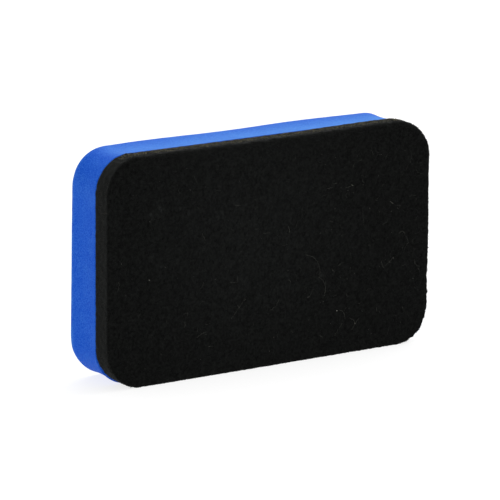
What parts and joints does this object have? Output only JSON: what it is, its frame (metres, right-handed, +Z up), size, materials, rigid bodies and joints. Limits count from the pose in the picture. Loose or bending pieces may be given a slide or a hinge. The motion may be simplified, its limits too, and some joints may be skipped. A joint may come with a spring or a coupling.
{
  "type": "chalkboard eraser",
  "caption": "Block eraser for a chalkboard: a die-cut foam block with a thick felt wiping pad glued to one broad face, round corners.",
  "frame": {"origin": "middle of the footprint on the surface that the eraser stands on, on its long edge", "axes": "+X along the length, +Y from the felt towards the foam's back, +Z up across the width"},
  "size_m": [0.105, 0.0184, 0.0625],
  "materials": {
    "felt": "black needle felt, matt and fibrous",
    "glue": "set hot-melt glue, thin film",
    "foam": "royal blue closed-cell EVA foam, matt"
  },
  "bodies": {
    "root": {"felt_pad": "felt", "glue_film": "glue", "foam_block": "foam"}
  },
  "joints": []
}
